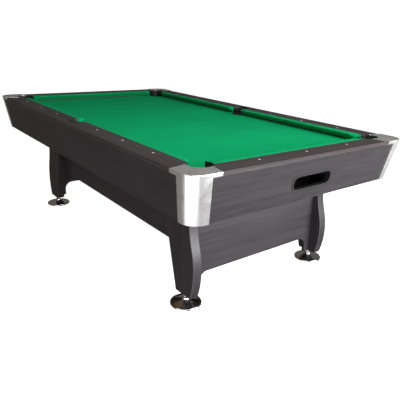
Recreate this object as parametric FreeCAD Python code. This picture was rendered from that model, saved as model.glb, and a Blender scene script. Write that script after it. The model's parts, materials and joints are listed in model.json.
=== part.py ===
import FreeCAD, Part
import math
import os

# Family pool table with a ball-return cabinet, in millimetres.
# +X points to the foot end, where the balls come back; +Y is on the right of a player who stands at
# that end and looks at the table; +Z is up.  The origin is on the floor under the middle of the table.

# ---- overall sizes ----
table_length = 2440.0        # over the rails, at their top
table_width = 1380.0
rail_top = 775.0             # laminate surface above the floor
cabinet_depth = 218.0        # rail top down to the lower edge of the sloping aprons
cushion_rise = 41.0          # playing surface up to the rail top

# ---- cabinet ----
apron_inset_end = 44.0       # how far the end aprons lean in, rail top to cabinet bottom
apron_inset_side = 33.0
apron_thickness = 18.0
corner_radius = 70.0         # plan radius of the cabinet corners under the caps
bottom_board = 18.0          # thickness of the boards that close the cabinet floor
bottom_ledge = 18.0          # how far those boards reach in past the skirts
corner_block_leg = 70.0      # leg length of the triangular blocks in the cabinet corners
corner_block_height = 90.0

# ---- bed ----
bed_thickness = 25.0
cloth_thickness = 1.0
bed_gap = 4.0                # bed edge to the aprons
batten_width = 25.0
batten_below_liner = 4.0     # lower edge of the battens under the pocket liners
beam_thickness = 25.0
beam_step = 0.36             # between beams, as a share of the way to the corner pockets
beams_each_way = 2           # cross beams on each side of the middle one
beam_end_gap = 16.0          # beam end to the side apron

# ---- rails and cushions ----
rail_width = 112.0
rail_lip = 14.0              # thickness of the rail where it laps over the apron
rail_bevel = 8.0
rail_bevel_height = 10.0
rail_body_gap = 1.15         # apron to the full-depth body of an end rail
rail_corner_gap = 105.0      # outer corner of the table to the end of a rail
rail_split = 0.5             # half the gap between two side rails behind a side pocket
cushion_width = 41.0
nose_height = 36.5           # nose line above the cloth
nose_round = 3.0
cushion_clearance = 7.0      # under the cushion's back edge
corner_mouth = 118.0         # between the two noses of a corner pocket
corner_jaw_angle = 38.0      # jaw against the line of its rail, in degrees
side_mouth = 128.0
side_jaw_angle = 76.0
sight_radius = 5.5
sight_depth = 2.0
sight_proud = 0.3
sight_inset = 74.0           # outer edge of the rail to the row of sights
sight_step_side = 0.2279     # between sights, as a share of half the table's length
sight_step_end = 0.4246      # the same across half its width

# ---- pockets ----
pocket_radius = 55.0         # inside of the liners
corner_pocket_inset = 135.0  # pocket centre to both outer edges
side_pocket_inset = 105.0
liner_wall = 3.5
liner_drop = 44.0            # below the playing surface
outlet_radius = 38.0         # mouth at the bottom of a liner's funnel
funnel_height = 22.0
liner_clearance = 0.3
flange_width = 10.0
flange_thickness = 2.5
cap_thickness = 3.0
cap_plate = 2.5
cap_edge_round = 4.0
cap_hole_bevel = 1.0
cap_width_top = 96.0         # corner to the edge of the cap's upright part
cap_width_bottom = 84.0
cap_ear_outer = 143.0        # corner to the tip of an ear, along the outside
cap_ear_inner = 166.0        # the same beside the pocket
cap_band = 17.0              # height of the ears' turned-down edge

# ---- ball return ----
slot_width = 246.0           # clear opening in the bezel
slot_share = 0.5586          # its height, as a share of the height from cabinet floor to battens
slot_corner_share = 0.42     # its corner radius, as a share of its own height
bezel_wall = 3.0
bezel_flange = 6.0
bezel_proud = 2.5
bezel_behind = 6.0
gully_centre_inset = 120.0   # outer edge of the table to the middle of a gully
gully_width = 102.0
gully_past_pocket = 36.0     # middle of the head pocket to the gully's closed end
gully_wall = 3.0
gully_depth_share = 0.4054   # this share and the five below are also of floor to battens
slot_centre_share = 0.6757
gully_head_share = 0.5856    # floor of the gullies at the head end
gully_foot_share = 0.2793
chute_side_share = 0.2523    # floor of the chutes beside the gullies
chute_middle_share = 0.1982
tray_share = 0.1622
chute_centre_inset = 122.0   # outer end of the table to the middle of the foot chute
chute_width = 78.0
tray_half_width = 126.0
tray_depth = 140.0
tray_wall_height = 75.0
rib_thickness = 12.0
chute_ribs = 2

# ---- legs and skirts ----
leg_thickness = 50.0
leg_inset_side = 219.0       # side of the table to the outer face of a leg
leg_inset_end = 320.0        # end of the table to a leg's front edge, straight stretch
leg_bottom = 57.0
leg_swell_middle = 21.0      # front edge, between its hollow and its bulge, forward of the straight
leg_swell_bulge = 42.0       # widest point
leg_swell_bottom = 16.0
leg_top_width = 232.0
leg_foot_width = 119.0
leg_curve_top_share = 0.816  # heights on the leg, as shares of it from the bottom
leg_middle_share = 0.536
leg_bulge_share = 0.282
leg_edge_round = 3.0
skirt_thickness = 18.0
end_skirt_setback = 30.0     # straight front edge of a leg to the face of the end skirt
end_skirt_rise = 93.0        # leg bottom to the flat of the end skirt's arch
end_skirt_ear = 37.0         # width of the strip that runs down beside each leg
end_skirt_arch = 50.0
side_skirt_depth = 287.0

# ---- levelling feet ----
foot_setback = 65.0          # lower end of a leg's front edge to the middle of its foot
pad_radius = 78.0
pad_shell = 3.0
pad_rim_width = 7.0
pad_rim_height = 9.0
pad_cone_height = 25.0
hub_radius = 17.0
hub_height = 34.0
socket_depth = 20.0
stud_radius = 6.0
thread_clearance = 0.05
stud_top = 138.0
hex_across_flats = 24.0
hex_bottom = 36.0
stop_gap = 0.3               # hexagon to the insert with the foot screwed right in
insert_flange_radius = 15.0
insert_flange = 3.0
insert_radius = 9.0
insert_length = 48.0
stud_hole_radius = 7.0
stud_hole_end = 6.0          # spare depth above the stud

# ---- bolts ----
bolt_radius = 5.0
bolt_length = 50.0
bolt_head_flats = 17.0
bolt_head_height = 6.5
washer_radius = 11.0
washer_thickness = 2.0
rail_bolts_side = (0.19, 0.5, 0.81)   # places as shares of the way to the corner pockets
rail_bolts_end = (-0.54, 0.0, 0.54)
leg_bolt_setbacks = (178.0, 50.0)     # from a leg's straight front edge

# ---- modelling aids ----
beyond = 60.0                # how far a cutting shape runs past what it cuts
hair = 0.01                  # slack when an edge is picked out by where it lies

# ---- worked-out places ----
half_length_top = table_length / 2
half_width_top = table_width / 2
cabinet_bottom = rail_top - cabinet_depth
floor_top = cabinet_bottom + bottom_board
lip_bottom = rail_top - rail_lip
cap_top = rail_top + cap_plate
bed_surface = rail_top - cushion_rise
bed_top = bed_surface - cloth_thickness
bed_bottom = bed_top - bed_thickness
rail_inner_x = half_length_top - rail_width
rail_inner_y = half_width_top - rail_width
rail_body_inset = apron_thickness + apron_inset_end * cushion_rise / cabinet_depth + rail_body_gap
nose_x = rail_inner_x - cushion_width
nose_y = rail_inner_y - cushion_width
nose_z = bed_surface + nose_height
liner_radius = pocket_radius + liner_wall
liner_bottom = bed_surface - liner_drop
hole_radius = liner_radius + liner_clearance
batten_bottom = liner_bottom - batten_below_liner
corner_x = half_length_top - corner_pocket_inset
corner_y = half_width_top - corner_pocket_inset
side_y = half_width_top - side_pocket_inset
beam_pitch = beam_step * corner_x
leg_face = half_width_top - leg_inset_side
leg_inner = leg_face - leg_thickness
leg_centre_y = leg_face - leg_thickness / 2
leg_height = cabinet_bottom - leg_bottom
leg_front_top = half_length_top - leg_inset_end
leg_front_bottom = leg_front_top + leg_swell_bottom
foot_x = leg_front_bottom - foot_setback
leg_bolts_x = [leg_front_top - setback for setback in leg_bolt_setbacks]
end_skirt_face = leg_front_top - end_skirt_setback
end_skirt_back = end_skirt_face - skirt_thickness
end_skirt_bottom = leg_bottom + end_skirt_rise
side_skirt_back = leg_inner - skirt_thickness
side_skirt_bottom = cabinet_bottom - side_skirt_depth
ledge_y = side_skirt_back - bottom_ledge
ledge_x = end_skirt_back - bottom_ledge
return_height = batten_bottom - floor_top
slot_height = slot_share * return_height
slot_corner = slot_corner_share * slot_height
slot_centre = floor_top + slot_centre_share * return_height
gully_depth = gully_depth_share * return_height
gully_floor_head = floor_top + gully_head_share * return_height
gully_floor_foot = floor_top + gully_foot_share * return_height
chute_floor_side = floor_top + chute_side_share * return_height
chute_floor_middle = floor_top + chute_middle_share * return_height
tray_floor = floor_top + tray_share * return_height
gully_y = half_width_top - gully_centre_inset
gully_half = gully_width / 2
gully_out = gully_half + gully_wall
chute_x = half_length_top - chute_centre_inset
chute_half = chute_width / 2
chute_out = chute_half + gully_wall
gully_start = -(corner_x + gully_past_pocket + gully_wall)
gully_end = chute_x - chute_out

V = FreeCAD.Vector
CORNERS = {"head_left": (-1, -1), "head_right": (-1, 1), "foot_left": (1, -1), "foot_right": (1, 1)}


def lean(z):
    """Share of the apron's lean reached at height z: 0 at the rail top, 1 at the cabinet bottom."""
    return (rail_top - z) / (rail_top - cabinet_bottom)


def half_length(z):
    return half_length_top - apron_inset_end * lean(z)


def half_width(z):
    return half_width_top - apron_inset_side * lean(z)


def box(x0, x1, y0, y1, z0, z1):
    return Part.makeBox(x1 - x0, y1 - y0, z1 - z0, V(x0, y0, z0))


def cylinder(x, y, z0, z1, radius):
    return Part.makeCylinder(radius, z1 - z0, V(x, y, z0))


def prism(points, direction):
    """Closed flat outline pushed along a vector."""
    wire = Part.makePolygon(points + points[:1])
    return Part.Face(wire).extrude(direction)


def prism_x(outline, x0, x1):
    """Outline in Y and Z, from x0 to x1."""
    return prism([V(x0, y, z) for y, z in outline], V(x1 - x0, 0, 0))


def prism_y(outline, y0, y1):
    """Outline in X and Z, from y0 to y1."""
    return prism([V(x, y0, z) for x, z in outline], V(0, y1 - y0, 0))


def prism_z(outline, z0, z1):
    """Outline in X and Y, from z0 to z1."""
    return prism([V(x, y, z0) for x, y in outline], V(0, 0, z1 - z0))


def placed(shape, sx, sy):
    """A shape made for the +X +Y quarter, mirrored into the quarter with these signs."""
    if sx < 0:
        shape = shape.mirror(V(0, 0, 0), V(1, 0, 0))
    if sy < 0:
        shape = shape.mirror(V(0, 0, 0), V(0, 1, 0))
    return shape


def rounded_rectangle(half_x, half_y, radius, to_point):
    """Rounded rectangle as a wire; to_point turns its two coordinates into a point."""
    edges = []
    centres = [(half_x - radius, half_y - radius, 0), (radius - half_x, half_y - radius, 90),
               (radius - half_x, radius - half_y, 180), (half_x - radius, radius - half_y, 270)]

    def on_arc(centre, angle):
        turn = math.radians(angle)
        return to_point(centre[0] + radius * math.cos(turn), centre[1] + radius * math.sin(turn))

    for i, centre in enumerate(centres):
        start = centre[2]
        arc = Part.Arc(on_arc(centre, start), on_arc(centre, start + 45), on_arc(centre, start + 90))
        following = centres[(i + 1) % len(centres)]
        edges.append(arc.toShape())
        edges.append(Part.makeLine(on_arc(centre, start + 90), on_arc(following, following[2])))
    return Part.Wire(edges)


def cabinet_outline(outset, z):
    """Rounded plan of the cabinet at height z, moved out by outset."""
    return rounded_rectangle(half_length(z) + outset, half_width(z) + outset, corner_radius + outset,
                             lambda a, b: V(a, b, z))


def rounded_cabinet(outset, z0, z1):
    return Part.makeLoft([cabinet_outline(outset, z0), cabinet_outline(outset, z1)], True, True)


def cabinet_core(inset, z0, z1):
    """Block inside the cabinet, inset from the sloping faces, with sharp corners."""
    wires = []
    for z in (z0, z1):
        a = half_length(z) - inset
        b = half_width(z) - inset
        wires.append(Part.makePolygon([V(a, b, z), V(-a, b, z), V(-a, -b, z), V(a, -b, z), V(a, b, z)]))
    return Part.makeLoft(wires, True, True)


def corner_column(near, far, z0, z1):
    """Leaning column in the +X +Y corner, between two distances from both sloping faces.

    near and far each give that distance at z0 and at z1.
    """
    wires = []
    for z, d0, d1 in ((z0, near[0], far[0]), (z1, near[1], far[1])):
        a0, a1 = half_length(z) - d1, half_length(z) - d0
        b0, b1 = half_width(z) - d1, half_width(z) - d0
        ring = [V(a0, b0, z), V(a1, b0, z), V(a1, b1, z), V(a0, b1, z)]
        wires.append(Part.makePolygon(ring + ring[:1]))
    return Part.makeLoft(wires, True, True)


def pocket_centres():
    corners = [(sx * corner_x, sy * corner_y) for sx, sy in CORNERS.values()]
    return corners + [(0, -side_y), (0, side_y)]


def cut_pockets(shape, z0, z1):
    for x, y in pocket_centres():
        shape = shape.cut(cylinder(x, y, z0, z1, hole_radius))
    return shape


def hexagon(x, y, z0, z1, across_flats):
    reach = across_flats / 2 / math.cos(math.radians(30))
    turns = [math.radians(60 * i) for i in range(6)]
    return prism_z([(x + reach * math.cos(t), y + reach * math.sin(t)) for t in turns], z0, z1)


# ---- bed ----

def bed_blank(z0, z1, inset):
    """Slab with its corners cut off clear of the corner blocks."""
    a = half_length(bed_bottom) - apron_thickness - bed_gap - inset
    b = half_width(bed_bottom) - apron_thickness - bed_gap - inset
    cut = corner_block_leg
    outline = []
    for sx, sy, first in ((1, 1, True), (-1, 1, False), (-1, -1, True), (1, -1, False)):
        ends = [(sx * a, sy * (b - cut)), (sx * (a - cut), sy * b)]
        outline += ends if first else ends[::-1]
    return prism_z(outline, z0, z1)


def make_bed():
    bed = cut_pockets(bed_blank(bed_bottom, bed_top, 0), bed_bottom - beyond, bed_top + beyond)
    for x, y in rail_bolt_places():
        bed = bed.cut(cylinder(x, y, bed_bottom - beyond, bed_top + beyond, bolt_radius))
    return bed


def make_cloth():
    cloth = bed_blank(bed_top, bed_surface, rail_body_inset)
    cloth = cut_pockets(cloth, bed_top - beyond, bed_surface + beyond)
    for x, y in rail_bolt_places():
        cloth = cloth.cut(cylinder(x, y, bed_top - beyond, bed_surface + beyond, bolt_radius))
    return cloth


def make_battens():
    """Strips on the inside of the aprons that carry the edge of the bed."""
    z0, z1 = batten_bottom, bed_bottom
    ring = cabinet_core(apron_thickness, z0, z1).cut(cabinet_core(apron_thickness + batten_width, z0, z1))
    end_y = corner_y - hole_radius
    side_x0 = hole_radius + batten_width
    side_x1 = corner_x - batten_width
    end = box(0, half_length_top, -end_y, end_y, z0, z1).common(ring)
    side = box(side_x0, side_x1, 0, half_width_top, z0, z1).common(ring)
    pieces = [placed(end, sx, 1) for sx in (-1, 1)]
    pieces += [placed(side, sx, sy) for sx, sy in CORNERS.values()]
    return Part.makeCompound(pieces)


def make_beams():
    """Cross beams from the cabinet floor to the bed, stepped down at their ends under the gullies."""
    pieces = []
    reach = half_width(floor_top) - apron_thickness - beam_end_gap
    for i in range(-beams_each_way, beams_each_way + 1):
        x = i * beam_pitch
        beam = box(x - beam_thickness / 2, x + beam_thickness / 2, -reach, reach, floor_top, bed_bottom)
        notch = gully_bar(-half_length_top, half_length_top, -gully_wall, bed_surface - gully_floor_foot,
                          gully_y - gully_out, half_width_top)
        for sy in (-1, 1):
            beam = beam.cut(placed(notch, 1, sy))
        pieces.append(beam)
    return Part.makeCompound(pieces)


# ---- rails ----

def rail_section(apron_inset):
    """Distance in from the outer edge, and height; the outer face leans on with its apron."""
    bevel_z = rail_top - rail_bevel_height
    return [(apron_inset * lean(lip_bottom), lip_bottom), (apron_inset * lean(bevel_z), bevel_z),
            (rail_bevel, rail_top), (rail_width, rail_top), (rail_width, bed_surface),
            (rail_body_inset, bed_surface), (rail_body_inset, lip_bottom)]


def cushion_section():
    """Distance in from the rail's outer edge, and height: sloping top, blunt nose, undercut face."""
    back, nose = rail_width, rail_width + cushion_width
    low = bed_surface + cushion_clearance
    return [(back, rail_top), (nose - nose_round, nose_z + nose_round), (nose, nose_z),
            (nose - nose_round, nose_z - nose_round), (back + cushion_clearance, low), (back, low)]


def sight_places():
    along = [(i * sight_step_side * half_length_top, sy * (half_width_top - sight_inset))
             for sy in (-1, 1) for i in (-3, -2, -1, 1, 2, 3)]
    across = [(sx * (half_length_top - sight_inset), i * sight_step_end * half_width_top)
              for sx in (-1, 1) for i in (-1, 0, 1)]
    return along + across


def rail_bolt_places():
    side = [(sx * share * corner_x, sy * (half_width_top - sight_inset))
            for sx, sy in CORNERS.values() for share in rail_bolts_side]
    end = [(sx * (half_length_top - sight_inset), share * corner_y)
           for sx in (-1, 1) for share in rail_bolts_end]
    return side + end


def finished_rail(rail):
    rail = cut_pockets(rail, bed_surface - beyond, rail_top + beyond)
    for x, y in sight_places():
        rail = rail.cut(cylinder(x, y, rail_top - sight_depth, rail_top + beyond, sight_radius))
    for x, y in rail_bolt_places():
        rail = rail.cut(cylinder(x, y, bed_surface - beyond, bed_bottom + bolt_length, bolt_radius))
    return rail


def make_side_rail(sx, sy):
    outline = [(half_width_top - inset, z) for inset, z in rail_section(apron_inset_side)]
    blank = prism_x(outline, rail_split, half_length_top - rail_corner_gap)
    return finished_rail(placed(blank, sx, sy))


def make_end_rail(sx):
    outline = [(half_length_top - inset, z) for inset, z in rail_section(apron_inset_end)]
    reach = half_width_top - rail_corner_gap
    return finished_rail(placed(prism_y(outline, -reach, reach), sx, 1))


def corner_nose_gap():
    """Along each nose line, from where the two lines would cross to the end of the cushion."""
    return corner_mouth / math.sqrt(2)


def make_side_cushion(sx, sy):
    outline = [(half_width_top - inset, z) for inset, z in cushion_section()]
    flare_corner = cushion_width / math.tan(math.radians(corner_jaw_angle))
    flare_side = cushion_width / math.tan(math.radians(side_jaw_angle))
    x0 = side_mouth / 2
    x1 = nose_x - corner_nose_gap()
    plan = [(x0, nose_y), (x1, nose_y), (x1 + flare_corner, rail_inner_y), (x0 - flare_side, rail_inner_y)]
    blank = prism_x(outline, 0, half_length_top)
    cushion = blank.common(prism_z(plan, bed_surface, rail_top))
    return placed(cut_pockets(cushion, bed_surface, rail_top + beyond), sx, sy)


def make_end_cushion(sx):
    outline = [(half_length_top - inset, z) for inset, z in cushion_section()]
    flare = cushion_width / math.tan(math.radians(corner_jaw_angle))
    y1 = nose_y - corner_nose_gap()
    plan = [(nose_x, -y1), (nose_x, y1), (rail_inner_x, y1 + flare), (rail_inner_x, -y1 - flare)]
    blank = prism_y(outline, -half_width_top, half_width_top)
    cushion = blank.common(prism_z(plan, bed_surface, rail_top))
    return placed(cut_pockets(cushion, bed_surface, rail_top + beyond), sx, 1)


def make_sights():
    return Part.makeCompound([cylinder(x, y, rail_top - sight_depth, rail_top + sight_proud, sight_radius)
                              for x, y in sight_places()])


# ---- cabinet ----

def apron_ring():
    core = cabinet_core(apron_thickness, cabinet_bottom, lip_bottom)
    return cabinet_core(0, cabinet_bottom, lip_bottom).cut(core)


def corner_cut(z):
    """Plan distances, from the middle, at which the side and end aprons stop beside a corner."""
    return half_length(z) - corner_radius, half_width(z) - corner_radius


def apron_window(low, high):
    """Outline of an apron seen from outside: half lengths at its lower and upper edges."""
    return [(-low, cabinet_bottom), (low, cabinet_bottom), (high, lip_bottom), (-high, lip_bottom)]


def make_side_apron(sy):
    low, high = corner_cut(cabinet_bottom)[0], corner_cut(lip_bottom)[0]
    window = prism_y(apron_window(low, high), 0, half_width_top)
    return placed(apron_ring().common(window), 1, sy)


def make_end_apron(sx):
    low, high = corner_cut(cabinet_bottom)[1], corner_cut(lip_bottom)[1]
    window = prism_x(apron_window(low, high), 0, half_length_top)
    return placed(apron_ring().common(window), sx, 1)


def slot_block(margin, x0, x1):
    """Rounded bar along X through the ball-return opening, margin larger all round than its clear size."""
    wire = rounded_rectangle(slot_width / 2 + margin, slot_height / 2 + margin, slot_corner + margin,
                             lambda a, b: V(x0, a, slot_centre + b))
    return Part.Face(wire).extrude(V(x1 - x0, 0, 0))


def foot_apron_layer(inside, outside):
    """Sloping layer from inside to outside of the foot apron's outer face."""
    z0, z1 = cabinet_bottom, lip_bottom
    outline = [(half_length(z0) - inside, z0), (half_length(z0) + outside, z0),
               (half_length(z1) + outside, z1), (half_length(z1) - inside, z1)]
    return prism_y(outline, -half_width_top, half_width_top)


def make_foot_apron():
    return make_end_apron(1).cut(slot_block(bezel_wall, nose_x, half_length_top + beyond))


def make_bezel():
    x0, x1 = nose_x, half_length_top + beyond
    through = foot_apron_layer(apron_thickness + bezel_behind, bezel_proud)
    sleeve = slot_block(bezel_wall, x0, x1).common(through)
    flange = slot_block(bezel_wall + bezel_flange, x0, x1).common(foot_apron_layer(0, bezel_proud))
    return sleeve.fuse(flange).cut(slot_block(0, x0, x1)).removeSplitter()


def make_corner_blocks():
    """Triangular glue blocks between the aprons, rounded off under the caps."""
    z0, z1 = lip_bottom - corner_block_height, lip_bottom
    near = apron_thickness
    far = apron_thickness + corner_block_leg
    column = corner_column((near, near), (far, far), z0, z1)
    wires = []
    for z in (z0, z1):
        a, b = half_length(z), half_width(z)
        wires.append(Part.makePolygon([V(a - near, b - near, z), V(a - far, b - near, z),
                                       V(a - near, b - far, z), V(a - near, b - near, z)]))
    block = Part.makeLoft(wires, True, True).common(column).common(rounded_cabinet(0, z0, z1))
    return Part.makeCompound([placed(block, sx, sy) for sx, sy in CORNERS.values()])


def floor_blank():
    floor = cabinet_core(apron_thickness, cabinet_bottom, floor_top)
    return floor.common(rounded_cabinet(0, cabinet_bottom, floor_top))


def make_side_floor(sy):
    reach = half_length_top
    board = floor_blank().common(box(-reach, reach, ledge_y, half_width_top, cabinet_bottom, floor_top))
    for x in [sx * x for sx in (-1, 1) for x in leg_bolts_x]:
        hole = cylinder(x, leg_centre_y, cabinet_bottom - beyond, floor_top + beyond, bolt_radius)
        board = board.cut(hole)
    return placed(board, 1, sy)


def make_end_floor(sx):
    return placed(floor_blank().common(box(ledge_x, half_length_top, -ledge_y, ledge_y,
                                           cabinet_bottom, floor_top)), sx, 1)


# ---- corner caps and liners ----

def cap_plan():
    """Top plate of the +X +Y cap in plan: two ears with slanted ends, square at the corner."""
    a, b = half_length_top, half_width_top
    out = cap_thickness + beyond
    return [(a + out, b + out), (a - cap_ear_outer, b + out), (a - cap_ear_outer, b),
            (a - cap_ear_inner, b - rail_width), (a - rail_width, b - cap_ear_inner),
            (a, b - cap_ear_outer), (a + out, b - cap_ear_outer)]


def cap_shell():
    """Skin over the whole rounded cabinet, with a rounded upper edge; each cap is one corner of it."""
    skin = rounded_cabinet(cap_thickness, cabinet_bottom, cap_top)
    rim = [edge for edge in skin.Edges if edge.BoundBox.ZMin > cap_top - hair]
    skin = skin.makeFillet(cap_edge_round, rim)
    return skin.cut(rounded_cabinet(0, cabinet_bottom - beyond, rail_top))


def make_cap(shell, sx, sy):
    upright = corner_column((-beyond, -beyond), (cap_width_bottom, cap_width_top), cabinet_bottom, cap_top)
    ears = prism_z(cap_plan(), cap_top - cap_band, cap_top)
    cap = shell.common(placed(upright.fuse(ears), sx, sy))
    x, y = sx * corner_x, sy * corner_y
    hole = cylinder(x, y, cabinet_bottom, cap_top + beyond, pocket_radius)
    bevel = Part.makeCone(pocket_radius, pocket_radius + cap_hole_bevel, cap_hole_bevel,
                          V(x, y, cap_top - cap_hole_bevel))
    return cap.cut(hole.fuse(bevel))


def liner_cup(x, y):
    """Round wall through the bed, drawn in to a funnel at the bottom."""
    funnel_top = liner_bottom + funnel_height
    funnel = Part.makeCone(outlet_radius + liner_wall, liner_radius, funnel_height, V(x, y, liner_bottom))
    return funnel.fuse(cylinder(x, y, funnel_top, bed_top, liner_radius))


def liner_bore(x, y):
    funnel_top = liner_bottom + funnel_height
    bore = Part.makeCone(outlet_radius, pocket_radius, funnel_height, V(x, y, liner_bottom))
    return bore.fuse(cylinder(x, y, funnel_top, rail_top + beyond, pocket_radius))


def make_corner_liner(sx, sy):
    """Cup of a corner pocket, open towards the table above the bed."""
    wall = cylinder(corner_x, corner_y, bed_top, rail_top, liner_radius)
    reach = corner_nose_gap() - cushion_width / math.tan(math.radians(corner_jaw_angle))
    mouth = prism_z([(nose_x - reach, rail_inner_y), (rail_inner_x, nose_y - reach), (0, nose_y - reach),
                     (0, rail_inner_y)], bed_top, rail_top)
    cup = liner_cup(corner_x, corner_y).fuse(wall.cut(mouth))
    return placed(cup.cut(liner_bore(corner_x, corner_y)).removeSplitter(), sx, sy)


def make_side_liner(sy):
    """The same for a side pocket, with a flange that lies on the two rails."""
    wall = cylinder(0, side_y, bed_top, rail_top, liner_radius)
    flange = cylinder(0, side_y, rail_top, rail_top + flange_thickness, pocket_radius + flange_width)
    mouth = box(-side_mouth, side_mouth, 0, rail_inner_y, bed_top, rail_top + flange_thickness)
    cup = liner_cup(0, side_y).fuse([wall.cut(mouth), flange.cut(mouth)])
    return placed(cup.cut(liner_bore(0, side_y)).removeSplitter(), 1, sy)


# ---- ball return ----

def gully_floor(x):
    share = (x - gully_start) / (gully_end - gully_start)
    return gully_floor_head + (gully_floor_foot - gully_floor_head) * share


def gully_bar(x0, x1, below, above, y0, y1):
    """Bar along X that keeps the slope of the gully floor; below and above are heights over it."""
    ends = [(x0, gully_floor(x0)), (x1, gully_floor(x1))]
    outline = [(x, z + below) for x, z in ends] + [(x, z + above) for x, z in reversed(ends)]
    return prism_y(outline, y0, y1)


def make_gully(sy):
    """Channel that rolls the balls from three pockets down to the foot end."""
    trough = gully_bar(gully_start, gully_end, -gully_wall, gully_depth,
                       gully_y - gully_out, gully_y + gully_out)
    inside = gully_bar(gully_start + gully_wall, gully_end + beyond, 0, gully_depth + beyond,
                       gully_y - gully_half, gully_y + gully_half)
    return placed(trough.cut(inside), 1, sy)


def chute_bar(x0, x1, y0, y1, below, above):
    """Bar along Y that keeps the slope of the foot chute's floor."""
    inner, outer = tray_half_width + gully_wall, gully_y + gully_half
    outline = []
    for y in (y0, y1):
        share = (y - inner) / (outer - inner)
        outline.append((y, chute_floor_middle + (chute_floor_side - chute_floor_middle) * share))
    lower = [(y, z + below) for y, z in outline]
    upper = [(y, z + above) for y, z in reversed(outline)]
    return prism_x(lower + upper, x0, x1)


def make_chute(sy):
    """Channel across the foot end, from a gully and a corner pocket to the tray."""
    x0, x1 = chute_x - chute_out, chute_x + chute_out
    y0, y1 = tray_half_width + gully_wall, gully_y + gully_out
    trough = chute_bar(x0, x1, y0, y1, -gully_wall, gully_depth)
    for i in range(chute_ribs):
        y = gully_y - i * (gully_y - y0) / chute_ribs
        trough = trough.fuse(box(chute_x - chute_half, chute_x + chute_half,
                                 y - rib_thickness / 2, y + rib_thickness / 2, floor_top, chute_floor_side))
    inside = chute_bar(chute_x - chute_half, chute_x + chute_half, y0 - beyond, gully_y + gully_half,
                       0, gully_depth + beyond)
    mouth = gully_bar(x0 - beyond, chute_x, 0, gully_depth + beyond,
                      gully_y - gully_half, gully_y + gully_half)
    return placed(trough.cut([inside, mouth]).removeSplitter(), 1, sy)


def make_tray():
    """Box behind the ball-return opening that collects the balls."""
    x0 = chute_x + chute_out - tray_depth
    out = tray_half_width + gully_wall
    z0, z1 = tray_floor - gully_wall, tray_floor + tray_wall_height
    tray = box(x0, half_length_top, -out, out, z0, z1)
    ribs = [box(x0, half_length_top, y - rib_thickness / 2, y + rib_thickness / 2, floor_top, z0)
            for y in (-tray_half_width + rib_thickness, tray_half_width - rib_thickness)]
    tray = tray.fuse(ribs).common(cabinet_core(apron_thickness, floor_top, z1))
    inside = box(x0 + gully_wall, half_length_top, -tray_half_width, tray_half_width, tray_floor, z1)
    mouths = box(chute_x - chute_half, chute_x + chute_half, -out, out, chute_floor_middle, z1)
    return tray.cut([inside, mouths]).removeSplitter()


# ---- legs and skirts ----

def leg_point(swell, share):
    """Point on a leg's front edge: forward of the straight stretch, and share of the leg's height."""
    return V(leg_front_top + swell, leg_inner, leg_bottom + share * leg_height)


def leg_hollow(top, middle):
    """Arc down the hollow of the front edge, starting straight down from the straight stretch."""
    swing = middle.x - top.x
    fall = top.z - middle.z
    radius = (swing ** 2 + fall ** 2) / (2 * swing)
    turn = math.asin(fall / radius) / 2
    between = top + V(radius * (1 - math.cos(turn)), 0, -radius * math.sin(turn))
    return Part.Arc(top, between, middle).toShape()


def make_leg(sx, sy):
    """Thick board along the side of the table: bulging front edge, tapering to the foot."""
    top = leg_point(0, leg_curve_top_share)
    middle = leg_point(leg_swell_middle, leg_middle_share)
    bulge = leg_point(leg_swell_bulge, leg_bulge_share)
    low = leg_point(leg_swell_bottom, 0)
    corners = [low, leg_point(leg_swell_bottom - leg_foot_width, 0), leg_point(-leg_top_width, 1),
               leg_point(0, 1), top]
    edges = [Part.makeLine(a, b) for a, b in zip(corners, corners[1:])]
    edges += [leg_hollow(top, middle), Part.Arc(middle, bulge, low).toShape()]
    leg = Part.Face(Part.Wire(edges)).extrude(V(0, leg_thickness, 0))
    front = [edge for edge in leg.Edges if edge.BoundBox.XMin > leg_front_top - hair
             and edge.BoundBox.YLength < hair]
    leg = leg.makeFillet(leg_edge_round, front)
    insert_top = leg_bottom + insert_length
    leg = leg.cut(cylinder(foot_x, leg_centre_y, leg_bottom - beyond, insert_top, insert_radius))
    leg = leg.cut(cylinder(foot_x, leg_centre_y, leg_bottom, stud_top + stud_hole_end, stud_hole_radius))
    for x in leg_bolts_x:
        leg = leg.cut(cylinder(x, leg_centre_y, floor_top - bolt_length, floor_top, bolt_radius))
    return placed(leg, sx, sy)


def make_side_skirt(sy):
    return placed(box(-end_skirt_back, end_skirt_back, side_skirt_back, leg_inner,
                      side_skirt_bottom, cabinet_bottom), 1, sy)


def make_end_skirt(sx):
    """Deep board between two legs, with an arch that leaves a strip down beside each leg."""
    strip = leg_inner - end_skirt_ear
    board = box(end_skirt_back, end_skirt_face, -leg_inner, leg_inner, leg_bottom, cabinet_bottom)
    gap = box(end_skirt_back, end_skirt_face, -strip, strip, leg_bottom, end_skirt_bottom)
    shoulders = [edge for edge in gap.Edges if edge.BoundBox.ZMin > end_skirt_bottom - hair
                 and edge.BoundBox.YLength < hair]
    return placed(board.cut(gap.makeFillet(end_skirt_arch, shoulders)), sx, 1)


# ---- levelling feet ----

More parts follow.
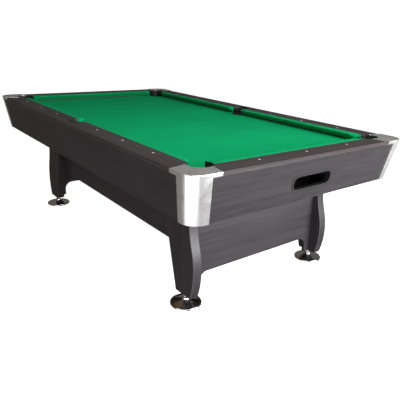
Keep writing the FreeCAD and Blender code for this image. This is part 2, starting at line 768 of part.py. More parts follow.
def make_pad(sx, sy):
    """Dished disc with a rolled rim and a hub; the stud turns in the hub's blind hole."""
    rim = pad_radius - pad_rim_width
    inside = hub_radius - pad_shell
    outline = [(0, hub_height), (hub_radius, hub_height), (hub_radius, pad_cone_height),
               (rim, pad_rim_height - pad_shell), (rim + pad_shell / 2, pad_rim_height),
               (pad_radius - pad_shell / 2, pad_rim_height), (pad_radius, pad_rim_height - pad_shell / 2),
               (pad_radius, 0), (rim, 0), (rim, pad_shell / 2), (inside, pad_cone_height - pad_shell),
               (inside, hub_height - socket_depth - pad_shell), (0, hub_height - socket_depth - pad_shell)]
    points = [V(r, 0, z) for r, z in outline]
    disc = Part.Face(Part.makePolygon(points + points[:1])).revolve(V(0, 0, 0), V(0, 0, 1), 360)
    bore = stud_radius + thread_clearance
    disc = disc.cut(cylinder(0, 0, hub_height - socket_depth, hub_height + beyond, bore))
    disc.translate(V(foot_x, leg_centre_y, 0))
    return placed(disc, sx, sy)


def make_stud(sx, sy):
    """Threaded stud, drawn as its plain outside cylinder, with the hexagon that turns it."""
    bottom = hub_height - socket_depth + thread_clearance
    hex_top = leg_bottom - insert_flange - stop_gap
    stud = cylinder(foot_x, leg_centre_y, bottom, stud_top, stud_radius)
    nut = hexagon(foot_x, leg_centre_y, hex_bottom, hex_top, hex_across_flats)
    return placed(stud.fuse(nut).removeSplitter(), sx, sy)


def make_inserts():
    bore = cylinder(foot_x, leg_centre_y, 0, leg_bottom + insert_length, stud_radius + thread_clearance)
    flange = cylinder(foot_x, leg_centre_y, leg_bottom - insert_flange, leg_bottom, insert_flange_radius)
    sleeve = cylinder(foot_x, leg_centre_y, leg_bottom, leg_bottom + insert_length, insert_radius)
    insert = flange.fuse(sleeve).cut(bore).removeSplitter()
    return Part.makeCompound([placed(insert, sx, sy) for sx, sy in CORNERS.values()])


# ---- bolts ----

def hex_bolt(x, y, seat, upwards):
    """Bolt with its washer against the surface at height seat, shank going up or down from there."""
    way = 1 if upwards else -1

    def stretch(near, far):
        return sorted((seat + way * near, seat + way * far))

    shank = cylinder(x, y, *stretch(0, bolt_length), bolt_radius)
    washer = cylinder(x, y, *stretch(-washer_thickness, 0), washer_radius)
    head = hexagon(x, y, *stretch(-washer_thickness - bolt_head_height, -washer_thickness), bolt_head_flats)
    return shank.fuse([washer, head]).removeSplitter()


def make_bolts():
    bolts = [hex_bolt(x, y, bed_bottom, True) for x, y in rail_bolt_places()]
    bolts += [hex_bolt(sx * x, sy * leg_centre_y, floor_top, False)
              for sx, sy in CORNERS.values() for x in leg_bolts_x]
    return Part.makeCompound(bolts)


def all_parts():
    """Every sub-part by the name of its node."""
    parts = {"bed": make_bed(), "bed_cloth": make_cloth(), "bed_battens": make_battens(),
             "bed_beams": make_beams(), "rail_sights": make_sights(), "ball_return_bezel": make_bezel(),
             "ball_tray": make_tray(), "corner_blocks": make_corner_blocks(),
             "foot_inserts": make_inserts(), "hex_bolts": make_bolts(),
             "apron_head": make_end_apron(-1), "apron_foot": make_foot_apron()}
    for end, sx in (("head", -1), ("foot", 1)):
        parts["rail_" + end] = make_end_rail(sx)
        parts["cushion_" + end] = make_end_cushion(sx)
        parts["skirt_" + end] = make_end_skirt(sx)
        parts["floor_" + end] = make_end_floor(sx)
    for side, sy in (("left", -1), ("right", 1)):
        parts["apron_" + side] = make_side_apron(sy)
        parts["skirt_" + side] = make_side_skirt(sy)
        parts["floor_" + side] = make_side_floor(sy)
        parts["side_liner_" + side] = make_side_liner(sy)
        parts["gully_" + side] = make_gully(sy)
        parts["foot_chute_" + side] = make_chute(sy)
    shell = cap_shell()
    for corner, (sx, sy) in CORNERS.items():
        parts["rail_" + corner] = make_side_rail(sx, sy)
        parts["cushion_" + corner] = make_side_cushion(sx, sy)
        parts["corner_cap_" + corner] = make_cap(shell, sx, sy)
        parts["corner_liner_" + corner] = make_corner_liner(sx, sy)
        parts["leg_" + corner] = make_leg(sx, sy)
        parts["foot_pad_" + corner] = make_pad(sx, sy)
        parts["foot_stud_" + corner] = make_stud(sx, sy)
    return parts


os.makedirs("parts", exist_ok=True)
for name, shape in all_parts().items():
    shape.exportStep("parts/" + name + ".step")
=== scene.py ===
import json
import math

import bmesh
import bpy
from mathutils import Matrix, Vector


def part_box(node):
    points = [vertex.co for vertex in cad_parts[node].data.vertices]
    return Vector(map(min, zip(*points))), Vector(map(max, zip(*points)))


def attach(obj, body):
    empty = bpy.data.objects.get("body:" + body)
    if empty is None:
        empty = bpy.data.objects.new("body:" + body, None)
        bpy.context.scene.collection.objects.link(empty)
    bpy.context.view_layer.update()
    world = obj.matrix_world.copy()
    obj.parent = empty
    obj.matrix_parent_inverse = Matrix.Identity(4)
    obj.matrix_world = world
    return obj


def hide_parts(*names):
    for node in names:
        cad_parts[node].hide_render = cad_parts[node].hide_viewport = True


# An eight-foot pool table.  Metres, +X to the foot end where the balls come back, +Z up.

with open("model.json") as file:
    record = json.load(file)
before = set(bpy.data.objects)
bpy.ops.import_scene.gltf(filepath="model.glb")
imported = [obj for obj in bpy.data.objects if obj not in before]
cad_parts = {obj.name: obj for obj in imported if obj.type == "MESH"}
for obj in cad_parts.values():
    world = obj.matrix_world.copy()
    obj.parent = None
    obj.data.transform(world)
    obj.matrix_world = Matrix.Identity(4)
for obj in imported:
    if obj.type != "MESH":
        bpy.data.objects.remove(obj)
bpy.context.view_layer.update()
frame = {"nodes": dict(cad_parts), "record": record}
MM = 0.001
TO_MM = 1000
CORNERS = {"head_left": (-1, -1), "head_right": (-1, 1), "foot_left": (1, -1), "foot_right": (1, 1)}
SLOT = {part["node"]: part["material_slot"] for part in frame["record"]["subparts"]}


# ---- shader helpers ----

class Surface:
    """A procedural material: every add() makes one node and wires or sets its inputs."""

    def __init__(self, name):
        self.material = bpy.data.materials.new(name)
        self.material.use_nodes = True
        self.tree = self.material.node_tree
        self.tree.nodes.clear()
        output = self.tree.nodes.new("ShaderNodeOutputMaterial")
        self.shader = self.tree.nodes.new("ShaderNodeBsdfPrincipled")
        self.tree.links.new(self.shader.outputs[0], output.inputs["Surface"])
        self.place = self.add("ShaderNodeTexCoord").outputs["Object"]

    def put(self, socket, value):
        if isinstance(value, bpy.types.NodeSocket):
            self.tree.links.new(value, socket)
        else:
            socket.default_value = value

    def add(self, kind, settings=None, **inputs):
        made = self.tree.nodes.new(kind)
        for key, value in (settings or {}).items():
            setattr(made, key, value)
        for key, value in inputs.items():
            self.put(made.inputs[key.replace("_", " ")], value)
        return made

    def set(self, **inputs):
        for key, value in inputs.items():
            self.put(self.shader.inputs[key.replace("_", " ")], value)

    def scaled(self, scale):
        return self.add("ShaderNodeMapping", Vector=self.place, Scale=scale).outputs[0]

    def noise(self, scale, detail=4.0, rough=0.5, distortion=0.0):
        """Noise between about 0.2 and 0.8; scale is three frequencies per metre."""
        made = self.add("ShaderNodeTexNoise", Vector=self.scaled(scale), Scale=1.0, Detail=detail,
                        Roughness=rough, Distortion=distortion)
        return made.outputs["Fac"]

    def span(self, value, low, high, start=0.3, stop=0.7):
        """Maps start..stop of a value to low..high."""
        made = self.add("ShaderNodeMapRange", {"clamp": True}, Value=value, From_Min=start, From_Max=stop,
                        To_Min=low, To_Max=high)
        return made.outputs[0]

    def mix(self, share, first, second):
        made = self.add("ShaderNodeMix", {"data_type": "RGBA"})
        self.put(made.inputs[0], share)
        self.put(made.inputs[6], first)
        self.put(made.inputs[7], second)
        return made.outputs[2]

    def math(self, how, first, second=0.0):
        made = self.add("ShaderNodeMath", {"operation": how})
        self.put(made.inputs[0], first)
        self.put(made.inputs[1], second)
        return made.outputs[0]

    def edge_normal(self, radius):
        """Normal of an edge rounded to this radius."""
        return self.add("ShaderNodeBevel", {"samples": 4}, Radius=radius).outputs[0]

    def edge_mask(self, radius):
        """1 on a sharp edge, 0 on a flat face."""
        rounded = self.edge_normal(radius)
        true = self.add("ShaderNodeNewGeometry").outputs["True Normal"]
        facing = self.add("ShaderNodeVectorMath", {"operation": "DOT_PRODUCT"})
        self.put(facing.inputs[0], rounded)
        self.put(facing.inputs[1], true)
        return self.span(facing.outputs["Value"], 1.0, 0.0, 0.8, 0.999)

    def bump(self, height, distance, strength=1.0, normal=None):
        made = self.add("ShaderNodeBump", Height=height, Distance=distance, Strength=strength)
        if normal is not None:
            self.put(made.inputs["Normal"], normal)
        self.set(Normal=made.outputs[0])


def rgb(red, green, blue):
    return (red, green, blue, 1.0)


def brighter(colour, gain, lift):
    """Colour times gain plus lift, held at 1."""
    return rgb(*(min(1, gain * c + lift) for c in colour[:3]))


def along(axis, length_frequency, cross_frequency):
    """Frequencies for noise that is drawn out along one axis."""
    return tuple(length_frequency if i == axis else cross_frequency for i in range(3))


LAMINATE_ROUGH = (0.34, 0.46)
PORE_DEPTH = 0.00006


def laminate(name, axis, dark, light, brown, specular):
    """Printed wood-grain laminate with its grain along one axis, its edges lightened partly by scuffs and
    partly by a painted highlight.
    """
    s = Surface(name)
    figure = s.noise(along(axis, 1.6, 26), 6, 0.62, distortion=0.5)
    streaks = s.noise(along(axis, 5, 190), 5, 0.6, distortion=0.2)
    fine = s.noise(along(axis, 30, 900), 3, 0.6)
    broad = s.noise((2.3, 2.1, 1.9), 2, 0.5)
    colour = s.mix(s.span(figure, 0, 1, 0.35, 0.68), dark, light)
    colour = s.mix(s.span(streaks, 0.0, 0.75, 0.42, 0.7), colour, brown)
    colour = s.mix(s.span(fine, 0.0, 0.4, 0.45, 0.7), colour, dark)
    colour = s.mix(s.span(broad, 0.0, 0.3), colour, light)
    # Edges lightened in the base colour: partly scuffed wear, partly a painted highlight along every edge.
    edge_wear_and_highlight = s.edge_mask(0.0018)
    scuffs_and_painted_highlight = s.math("MULTIPLY", edge_wear_and_highlight, s.span(s.noise((60, 60, 60), 3, 0.6), 0.25, 0.8))
    sheen = s.math("ADD", s.math("MULTIPLY", streaks, 0.6), s.math("MULTIPLY", broad, 0.4))
    s.set(Base_Color=s.mix(scuffs_and_painted_highlight, colour, brighter(light, 2.2, 0.05)),
          Roughness=s.span(sheen, *LAMINATE_ROUGH), Specular_IOR_Level=specular)
    s.bump(s.math("ADD", s.math("MULTIPLY", fine, 0.6), streaks), PORE_DEPTH, 0.8, s.edge_normal(0.0012))
    return s.material


def billiard_cloth(name, colour, shade):
    """Short-napped woven cloth: a fine two-way weave under fibre fuzz, with darker clumps."""
    s = Surface(name)
    fuzz = s.noise((900, 900, 900), 3, 0.7)
    clumps = s.noise((55, 55, 55), 5, 0.6)
    broad = s.noise((3.1, 2.7, 3.0), 3, 0.5)
    warp, weft = (s.add("ShaderNodeTexWave", {"bands_direction": letter}, Vector=s.scaled((420, 420, 420)),
                        Scale=1.0, Distortion=1.2, Detail=2.0, Detail_Scale=2.0).outputs["Fac"]
                  for letter in "XY")
    weave = s.math("MAXIMUM", warp, weft)
    base = s.mix(s.span(broad, 0, 1), shade, colour)
    base = s.mix(s.span(clumps, 0.0, 0.25, 0.35, 0.65), base, shade)
    base = s.mix(s.span(fuzz, 0.0, 0.22, 0.4, 0.7), base, brighter(colour, 1.5, 0.02))
    s.set(Base_Color=base, Roughness=s.span(fuzz, 0.82, 0.95), Sheen_Weight=0.03, Sheen_Roughness=0.5,
          Sheen_Tint=rgb(0.1, 0.9, 0.5), Specular_IOR_Level=0.04)
    s.bump(s.math("ADD", s.math("MULTIPLY", weave, 0.5), fuzz), 0.0003, 0.6)
    return s.material


def chrome(name, tint, rough=(0.07, 0.16), metallic=1.0):
    """Plated metal with faint polishing marks, smears and worn edges."""
    s = Surface(name)
    smears = s.noise((14, 14, 20), 4, 0.6, distortion=0.8)
    marks = s.noise((160, 160, 900), 2, 0.5)
    edge = s.edge_mask(0.0012)
    s.set(Base_Color=s.mix(s.span(smears, 0.0, 0.5), tint, brighter(tint, 0.82, 0)),
          Metallic=metallic, Roughness=s.math("ADD", s.span(smears, *rough), s.math("MULTIPLY", edge, 0.05)))
    s.bump(marks, 0.00002, 0.5, s.edge_normal(0.0008))
    return s.material


def moulded(name, colour, rough):
    """Moulded plastic with a fine spark-eroded grain, and a painted highlight lightening its edges."""
    s = Surface(name)
    cells = s.add("ShaderNodeTexVoronoi", Vector=s.scaled((700, 700, 700)), Scale=1.0).outputs["Distance"]
    cloud = s.noise((30, 30, 30), 3, 0.6)
    edge = s.edge_mask(0.0012)
    # Painted highlight: the base colour is lightened along every edge.
    painted_edge_highlight = s.mix(s.math("MULTIPLY", edge, 0.6), colour, brighter(colour, 2.5, 0.02))
    s.set(Base_Color=painted_edge_highlight, Roughness=s.span(cloud, *rough))
    s.bump(cells, 0.0002, 0.35, s.edge_normal(0.0008))
    return s.material


def pearl_disc(name):
    """Pearly plastic: soft swirls under a clear coat."""
    s = Surface(name)
    swirl = s.noise((260, 260, 260), 3, 0.5, distortion=2.2)
    s.set(Base_Color=s.mix(s.span(swirl, 0, 1), rgb(0.62, 0.6, 0.56), rgb(0.95, 0.94, 0.9)),
          Roughness=s.span(swirl, 0.22, 0.34), Coat_Weight=0.6, Coat_Roughness=0.08)
    s.bump(swirl, 0.00008, 0.4)
    return s.material


def fibreboard(name):
    s = Surface(name)
    chips = s.noise((240, 240, 240), 4, 0.7)
    broad = s.noise((9, 9, 9), 2, 0.5)
    colour = s.mix(s.span(chips, 0, 1), rgb(0.33, 0.22, 0.12), rgb(0.5, 0.37, 0.22))
    s.set(Base_Color=s.mix(s.span(broad, 0, 0.3), colour, rgb(0.28, 0.19, 0.11)),
          Roughness=s.span(chips, 0.78, 0.92))
    s.bump(chips, 0.0002, 0.5)
    return s.material


def softwood(name, axis):
    s = Surface(name)
    rings = s.noise(along(axis, 1.4, 34), 4, 0.5, distortion=0.6)
    fibre = s.noise(along(axis, 20, 520), 3, 0.6)
    colour = s.mix(s.span(rings, 0, 1, 0.35, 0.65), rgb(0.62, 0.42, 0.22), rgb(0.42, 0.24, 0.1))
    s.set(Base_Color=s.mix(s.span(fibre, 0, 0.35), colour, rgb(0.3, 0.17, 0.08)),
          Roughness=s.span(fibre, 0.6, 0.78))
    s.bump(fibre, 0.0002, 0.6)
    return s.material


CHARCOAL = (rgb(0.028, 0.025, 0.027), rgb(0.062, 0.056, 0.060), rgb(0.075, 0.052, 0.048))
BLACKISH = (rgb(0.016, 0.015, 0.017), rgb(0.034, 0.032, 0.036), rgb(0.038, 0.030, 0.030))

MATERIALS = {
    "cloth": billiard_cloth("cloth", rgb(0.0, 0.36, 0.125), rgb(0.0, 0.29, 0.1)),
    # The cushion cloth is a darker copy of the bed cloth: painted shade on the cushions.
    "cushion_cloth": billiard_cloth("cushion_cloth", rgb(0.0, 0.33, 0.115), rgb(0.0, 0.27, 0.09)),
    "chrome": chrome("chrome", rgb(0.72, 0.72, 0.73), (0.1, 0.2)),
    "chrome_cap": chrome("chrome_cap", rgb(0.86, 0.86, 0.87), (0.2, 0.36), 0.85),
    "steel": chrome("steel", rgb(0.52, 0.52, 0.5), (0.3, 0.42)),
    "black_plastic": moulded("black_plastic", rgb(0.012, 0.012, 0.013), (0.36, 0.5)),
    "pearl": pearl_disc("pearl"),
    "mdf": fibreboard("mdf"),
}
for letter, axis in (("x", 0), ("y", 1), ("z", 2)):
    for slot, tones, specular in (("rail_laminate_", CHARCOAL, 0.12), ("cabinet_laminate_", BLACKISH, 0.3),
                                  ("leg_laminate_", BLACKISH, 0.3)):
        MATERIALS[slot + letter] = laminate(slot + letter, axis, *tones, specular)
    MATERIALS["pine_" + letter] = softwood("pine_" + letter, axis)


def grain_axis(node):
    """Letter of the longest horizontal side, or z for the legs."""
    if node.startswith("leg_"):
        return "z"
    low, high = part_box(node)
    return "x" if high.x - low.x >= high.y - low.y else "y"


def material_for(node):
    name = SLOT[node]
    if node.startswith("corner_cap"):
        name += "_cap"
    return MATERIALS[name] if name in MATERIALS else MATERIALS[name + "_" + grain_axis(node)]


for node, obj in frame["nodes"].items():
    if not obj.material_slots:
        obj.data.materials.append(None)
    for place in obj.material_slots:
        place.material = material_for(node)


# ---- mesh helpers ----

def finished(name, mesh, body, slot, nodes, smooth_angle):
    """Wraps a bmesh as a piece that rides on a body and stands for CAD nodes."""
    bmesh.ops.recalc_face_normals(mesh, faces=mesh.faces)
    data = bpy.data.meshes.new(name)
    mesh.to_mesh(data)
    mesh.free()
    for face in data.polygons:
        face.use_smooth = True
    data.set_sharp_from_angle(angle=math.radians(smooth_angle))
    piece = bpy.data.objects.new(name, data)
    bpy.context.scene.collection.objects.link(piece)
    piece.data.materials.append(MATERIALS[slot])
    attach(piece, body)
    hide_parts(*nodes)
    return piece


def skin_rings(mesh, rings):
    """Joins rings of points, all of the same count, into a skin, and caps both ends."""
    rows = [[mesh.verts.new(point) for point in ring] for ring in rings]
    count = len(rows[0])
    for a, b in zip(rows, rows[1:]):
        for i in range(count):
            j = (i + 1) % count
            mesh.faces.new((a[i], a[j], b[j], b[i]))
    mesh.faces.new(rows[0][::-1])
    mesh.faces.new(rows[-1])


# ---- bed cloth ----

bed_low, bed_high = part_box("bed_cloth")
BED = bed_high.z
POCKET_HOLE = 58.8 * MM          # radius of the holes in bed and cloth
LINER_REACH = 58.5 * MM          # pocket centre to the outer wall of its liner
FLANGE_REACH = 65 * MM           # side pocket centre to the edge of its liner's flange
CLOTH_CELL = 0.03
HOLE_MATCH = 0.001               # how far an edge may lie from a hole's circle and count as its rim
CLOTH_FOLD = ((0.0006, 0.00012), (0.0016, 0.00006), (0.004, 0.0), (0.006, 0.0))   # down, in
corner_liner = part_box("corner_liner_foot_right")
side_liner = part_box("side_liner_right")
corner_pocket = (corner_liner[1].x - LINER_REACH, corner_liner[1].y - LINER_REACH)
side_pocket_y = side_liner[1].y - FLANGE_REACH
POCKETS = [(sx * corner_pocket[0], sy * corner_pocket[1]) for sx, sy in CORNERS.values()]
POCKETS += [(0.0, -side_pocket_y), (0.0, side_pocket_y)]


def make_bed_cloth():
    """One stretched sheet, cut round the pockets and folded down over the edges of their holes."""
    mesh = bmesh.new()
    mesh.from_mesh(frame["nodes"]["bed_cloth"].data)
    bmesh.ops.remove_doubles(mesh, verts=mesh.verts, dist=1e-5)
    drop = [f for f in mesh.faces if min(v.co.z for v in f.verts) < BED - 0.0002]
    bmesh.ops.delete(mesh, geom=drop, context="FACES")
    bmesh.ops.dissolve_limit(mesh, angle_limit=0.01, verts=mesh.verts, edges=mesh.edges)
    for axis, low, high in ((0, bed_low.x, bed_high.x), (1, bed_low.y, bed_high.y)):
        for i in range(1, int((high - low) / CLOTH_CELL)):
            point, normal = Vector((0, 0, BED)), Vector((0, 0, 0))
            point[axis] = low + i * CLOTH_CELL
            normal[axis] = 1
            bmesh.ops.bisect_plane(mesh, geom=mesh.verts[:] + mesh.edges[:] + mesh.faces[:],
                                   plane_co=point, plane_no=normal)

    def pocket_of(edge):
        for x, y in POCKETS:
            if all(abs(math.hypot(v.co.x - x, v.co.y - y) - POCKET_HOLE) < HOLE_MATCH for v in edge.verts):
                return Vector((x, y, 0))
        return None

    for depth, pull in CLOTH_FOLD:
        rim = [e for e in mesh.edges if e.is_boundary and pocket_of(e) is not None]
        made = bmesh.ops.extrude_edge_only(mesh, edges=rim)["geom"]
        for vert in [g for g in made if isinstance(g, bmesh.types.BMVert)]:
            vert.co.z -= depth
            nearest = min(POCKETS, key=lambda p: math.hypot(vert.co.x - p[0], vert.co.y - p[1]))
            inward = Vector((nearest[0] - vert.co.x, nearest[1] - vert.co.y, 0)).normalized()
            vert.co += inward * pull
    cloth = finished("cloth_sheet", mesh, "table", "cloth", ["bed_cloth"], 50)


make_bed_cloth()


# ---- cushions ----

NOSE = 3.4                       # radius of the nose, in millimetres
JAW_ROUND = 3.0
JAW_FLARE = 52.48                # how much longer a cushion is at its rail than at its nose, each end
SIDE_GAP = 64.0                  # middle of the table to the cushions beside a side pocket, at their nose
CUSHION_STEPS = 48


def cushion_profile(depth, low, high):
    """Closed outline: distance out from the rail and height, in millimetres, from back bottom round."""
    nose_z = high - 4.5
    points = [(0.0, low), (0.0, high - 1.4), (0.9, high - 0.45), (2.6, high - 0.05)]
    for i in range(1, 8):
        share = i / 8
        points.append((2.6 + (depth - NOSE - 2.6) * share,
                       high - 0.05 - 1.15 * share ** 1.6))
    for i in range(9):
        turn = math.radians(80 - 19 * i)
        points.append((depth - NOSE + NOSE * math.cos(turn), nose_z + NOSE * math.sin(turn)))
    start = points[-1]
    end = (8.0, low + 0.8)
    for i in range(1, 6):
        share = i / 6
        points.append((start[0] + (end[0] - start[0]) * share,
                       start[1] + (end[1] - start[1]) * share + 0.7 * math.sin(math.pi * share)))
    points += [end, (6.8, low)]
    return points


def shrunk(points, amount):
    """Outline moved in by amount along its own normals, clockwise outlines only."""
    moved = []
    count = len(points)
    for i, (x, z) in enumerate(points):
        (x0, z0), (x1, z1) = points[i - 1], points[(i + 1) % count]
        dx, dz = x1 - x0, z1 - z0
        length = math.hypot(dx, dz) or 1.0
        moved.append((x + amount * dz / length, z - amount * dx / length))
    return moved


def make_cushion(node, place):
    """Cloth pulled over rubber; place(u, t, z) turns length, depth from the rail and height into a point."""
    start, stop, start_flare, stop_flare = place["ends"]
    depth = place["depth"]
    profile = cushion_profile(depth, place["low"], place["high"])
    stations = []
    for degrees in (15, 40, 65, 90):
        turn = math.radians(degrees)
        stations.append((0.0, JAW_ROUND * (1 - math.cos(turn)), JAW_ROUND * (1 - math.sin(turn))))
    middle = [(i / CUSHION_STEPS, 0.0, 0.0) for i in range(1, CUSHION_STEPS)]
    ends = [(1.0, -inward, amount) for _, inward, amount in reversed(stations)]
    rings = []
    for share, inward, amount in stations + middle + ends:
        ring = []
        for t, z in shrunk(profile, amount):
            slope = t / depth
            first = start + start_flare * (1 - slope)
            last = stop + stop_flare * (1 - slope)
            ring.append(place["to"](first + (last - first) * share + inward, t, z))
        rings.append(ring)
    mesh = bmesh.new()
    skin_rings(mesh, rings)
    piece = finished(node + "_cloth", mesh, "table", "cushion_cloth", [node], 60)


def make_cushions():
    for corner, (sx, sy) in CORNERS.items():
        low, high = (v * TO_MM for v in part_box("cushion_" + corner))
        nose_line, rail_line = sorted((abs(low.y), abs(high.y)))
        near, far = sorted((abs(low.x), abs(high.x)))
        place = {"ends": (SIDE_GAP, far - JAW_FLARE, near - SIDE_GAP, JAW_FLARE),
                 "depth": rail_line - nose_line, "low": low.z, "high": high.z,
                 "to": lambda u, t, z, sx=sx, sy=sy, r=rail_line: Vector((sx * u, sy * (r - t), z)) * MM}
        make_cushion("cushion_" + corner, place)
    for end, sx in (("head", -1), ("foot", 1)):
        low, high = (v * TO_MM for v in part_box("cushion_" + end))
        nose_line, rail_line = sorted((abs(low.x), abs(high.x)))
        place = {"ends": (low.y + JAW_FLARE, high.y - JAW_FLARE, -JAW_FLARE, JAW_FLARE),
                 "depth": rail_line - nose_line, "low": low.z, "high": high.z,
                 "to": lambda u, t, z, sx=sx, r=rail_line: Vector((sx * (r - t), u, z)) * MM}
        make_cushion("cushion_" + end, place)


make_cushions()


# ---- levelling feet ----

def lathe(mesh, outline, centre, segments=96):
    """Turns an outline of radius and height, in millimetres, about a vertical axis."""
    rings = []
    for i in range(segments):
        turn = 2 * math.pi * i / segments
        cosine, sine = math.cos(turn), math.sin(turn)
        rings.append([Vector((centre[0] + r * MM * cosine, centre[1] + r * MM * sine, z * MM))
                      for r, z in outline])
    rows = [[mesh.verts.new(p) for p in ring] for ring in rings]
    count = len(outline)
    for k, row in enumerate(rows):
        following = rows[(k + 1) % segments]
        for i in range(count):
            j = (i + 1) % count
            mesh.faces.new((row[i], row[j], following[j], following[i]))


# Radius and height along the disc, in millimetres, from the socket over the hub, cone and rim, and back.
PAD_OUTLINE = [
    (6.05, 14.0), (6.05, 33.4), (6.8, 34.0), (15.4, 34.0), (16.5, 33.6), (17.0, 32.4),
    (17.0, 28.0), (17.4, 26.2), (18.8, 24.8), (21.5, 23.6), (34.0, 19.0), (52.0, 12.6),
    (66.0, 7.8), (69.4, 6.8), (71.0, 6.9), (72.0, 7.8), (73.2, 8.7), (74.6, 9.0), (76.2, 8.6),
    (77.4, 7.6), (78.0, 6.0), (78.0, 1.2), (77.4, 0.3), (76.4, 0.0), (72.4, 0.0), (71.4, 0.4),
    (70.8, 1.4), (68.0, 3.4), (50.0, 9.8), (14.0, 22.0), (14.0, 11.0), (0.6, 11.0), (0.6, 14.0),
]


def hexagon_radius(turn, flats):
    wedge = math.radians(60)
    return flats / 2 / math.cos((turn % wedge) - wedge / 2)


HEX_BOTTOM, HEX_TOP, HEX_FLATS = 36.0, 53.7, 24.0
THREAD_PITCH = 1.75
THREAD_DEPTH = 0.95
STUD_RADIUS = 6.0
STUD_SEGMENTS = 48
RINGS_PER_PITCH = 8


def make_stud_mesh(centre, bottom, top):
    """Smooth lower shank, chamfered hexagon, and a helical thread above it."""
    rings = [(bottom, lambda a: STUD_RADIUS - 1.0), (bottom + 1.0, lambda a: STUD_RADIUS),
             (HEX_BOTTOM, lambda a: STUD_RADIUS)]
    for z, limit in ((HEX_BOTTOM, 12.2), (HEX_BOTTOM + 0.7, 13.4), (HEX_BOTTOM + 1.3, 14.5),
                     (HEX_TOP - 1.3, 14.5), (HEX_TOP - 0.7, 13.4), (HEX_TOP, 12.2)):
        rings.append((z, lambda a, limit=limit: min(limit, hexagon_radius(a + math.radians(30), HEX_FLATS))))
    rings.append((HEX_TOP, lambda a: STUD_RADIUS - THREAD_DEPTH))
    count = int((top - HEX_TOP - 2.0) / THREAD_PITCH * RINGS_PER_PITCH)
    for i in range(count + 1):
        z = HEX_TOP + 0.6 + i * THREAD_PITCH / RINGS_PER_PITCH

        def thread(a, z=z):
            phase = (z / THREAD_PITCH - a / (2 * math.pi)) % 1.0
            return STUD_RADIUS - THREAD_DEPTH * min(1.0, max(0.0, abs(phase - 0.5) * 2.3 - 0.1))

        rings.append((z, thread))
    rings.append((top, lambda a: STUD_RADIUS - THREAD_DEPTH - 0.6))
    points = []
    for z, reach in rings:
        ring = []
        for i in range(STUD_SEGMENTS):
            a = 2 * math.pi * i / STUD_SEGMENTS
            r = reach(a) * MM
            ring.append(Vector((centre[0] + r * math.cos(a), centre[1] + r * math.sin(a), z * MM)))
        points.append(ring)
    mesh = bmesh.new()
    skin_rings(mesh, points)
    return mesh


def make_feet():
    for corner in CORNERS:
        low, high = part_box("foot_pad_" + corner)
        centre = (low + high) / 2
        mesh = bmesh.new()
        lathe(mesh, PAD_OUTLINE, centre)
        finished("foot_disc_" + corner, mesh, "pad_" + corner, "chrome", ["foot_pad_" + corner], 50)
        low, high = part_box("foot_stud_" + corner)
        mesh = make_stud_mesh(centre, low.z * TO_MM, high.z * TO_MM)
        finished("foot_thread_" + corner, mesh, "stud_" + corner, "steel", ["foot_stud_" + corner], 28)


make_feet()


# ---- studio ----

CAMERA_PLACE = (2.509, -1.606, 1.258)
CAMERA_ANGLES = (140.32, 17.588, 2.483)      # heading from +X, pitch down, roll, in degrees
CAMERA_LENS = 42.085                         # on a 36 mm sensor
CAMERA_SHIFT = (-0.06165, -0.03942)

# Place, aimed at, width, height, watts.  Two cards stand partly below the floor, which lets light through,
# because the leaning aprons and caps mirror what is down there.
LIGHTS = {
    "overhead": ((1.5, 0.1, 2.5), (0.6, 0, 0.7), 2.2, 1.6, 38),
    "end_card": ((3.4, 0.7, 0.8), (1.1, 0.0, 0.55), 2.8, 1.6, 250),
    "corner_card": ((1.95, -2.05, -0.35), (1.2, -0.6, 0.65), 2.8, 1.6, 34),
    "camera_fill": ((0.6, -3.4, 2.6), (0.2, 0.3, 0.8), 2.4, 1.6, 27),
}


def area_light(name, place, target, width, height, power):
    lamp = bpy.data.lights.new(name, "AREA")
    lamp.shape = "RECTANGLE"
    lamp.size, lamp.size_y = width, height
    lamp.energy = power
    holder = bpy.data.objects.new(name, lamp)
    bpy.context.scene.collection.objects.link(holder)
    holder.location = place
    holder.rotation_euler = (Vector(target) - Vector(place)).to_track_quat("-Z", "Y").to_euler()


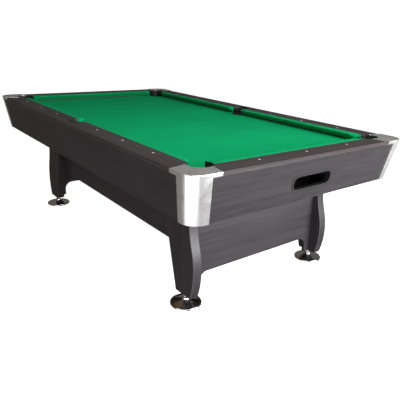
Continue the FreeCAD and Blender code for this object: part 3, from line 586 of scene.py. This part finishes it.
def make_floor():
    """White floor that the camera sees, and that neither mirrors nor blocks the lights."""
    mesh = bmesh.new()
    bmesh.ops.create_grid(mesh, x_segments=40, y_segments=40, size=20)
    data = bpy.data.meshes.new("studio_floor")
    mesh.to_mesh(data)
    mesh.free()
    floor = bpy.data.objects.new("studio_floor", data)
    bpy.context.scene.collection.objects.link(floor)
    s = Surface("studio_floor")
    mottle = s.noise((1.7, 1.9, 1.0), 3, 0.5)
    s.set(Base_Color=s.mix(mottle, rgb(0.86, 0.86, 0.86), rgb(0.9, 0.9, 0.9)), Roughness=0.9,
          Specular_IOR_Level=0.1, Emission_Color=rgb(1, 1, 1), Emission_Strength=0.93)
    floor.data.materials.append(s.material)
    floor.visible_glossy = False
    floor.visible_diffuse = False
    floor.visible_shadow = False


def make_world():
    """White to the camera, a dim warm room to everything else."""
    world = bpy.data.worlds.new("studio")
    world.use_nodes = True
    bpy.context.scene.world = world
    tree = world.node_tree
    tree.nodes.clear()
    output = tree.nodes.new("ShaderNodeOutputWorld")
    mixer = tree.nodes.new("ShaderNodeMixShader")
    path = tree.nodes.new("ShaderNodeLightPath")
    tree.links.new(path.outputs["Is Camera Ray"], mixer.inputs[0])
    for socket, colour, strength in ((1, rgb(1.0, 0.92, 0.86), 0.13), (2, rgb(1, 1, 1), 1.0)):
        light = tree.nodes.new("ShaderNodeBackground")
        light.inputs["Color"].default_value = colour
        light.inputs["Strength"].default_value = strength
        tree.links.new(light.outputs[0], mixer.inputs[socket])
    tree.links.new(mixer.outputs[0], output.inputs["Surface"])


def make_camera():
    heading, pitch, roll = (math.radians(a) for a in CAMERA_ANGLES)
    flat = Vector((math.cos(heading), math.sin(heading), 0))
    forward = flat * math.cos(pitch) - Vector((0, 0, math.sin(pitch)))
    right = forward.cross(Vector((0, 0, 1))).normalized()
    up = right.cross(forward)
    right, up = (math.cos(roll) * right + math.sin(roll) * up, math.cos(roll) * up - math.sin(roll) * right)
    lens = bpy.data.cameras.new("camera")
    lens.sensor_width = 36.0
    lens.lens = CAMERA_LENS
    lens.shift_x, lens.shift_y = CAMERA_SHIFT
    lens.clip_end = 100
    camera = bpy.data.objects.new("camera", lens)
    turn = Matrix((right, up, -forward)).transposed().to_4x4()
    camera.matrix_world = Matrix.Translation(CAMERA_PLACE) @ turn
    bpy.context.scene.collection.objects.link(camera)
    bpy.context.scene.camera = camera


make_floor()
make_world()
make_camera()
for lamp_name, settings in LIGHTS.items():
    area_light(lamp_name, *settings)
bpy.context.scene.view_settings.view_transform = "Standard"
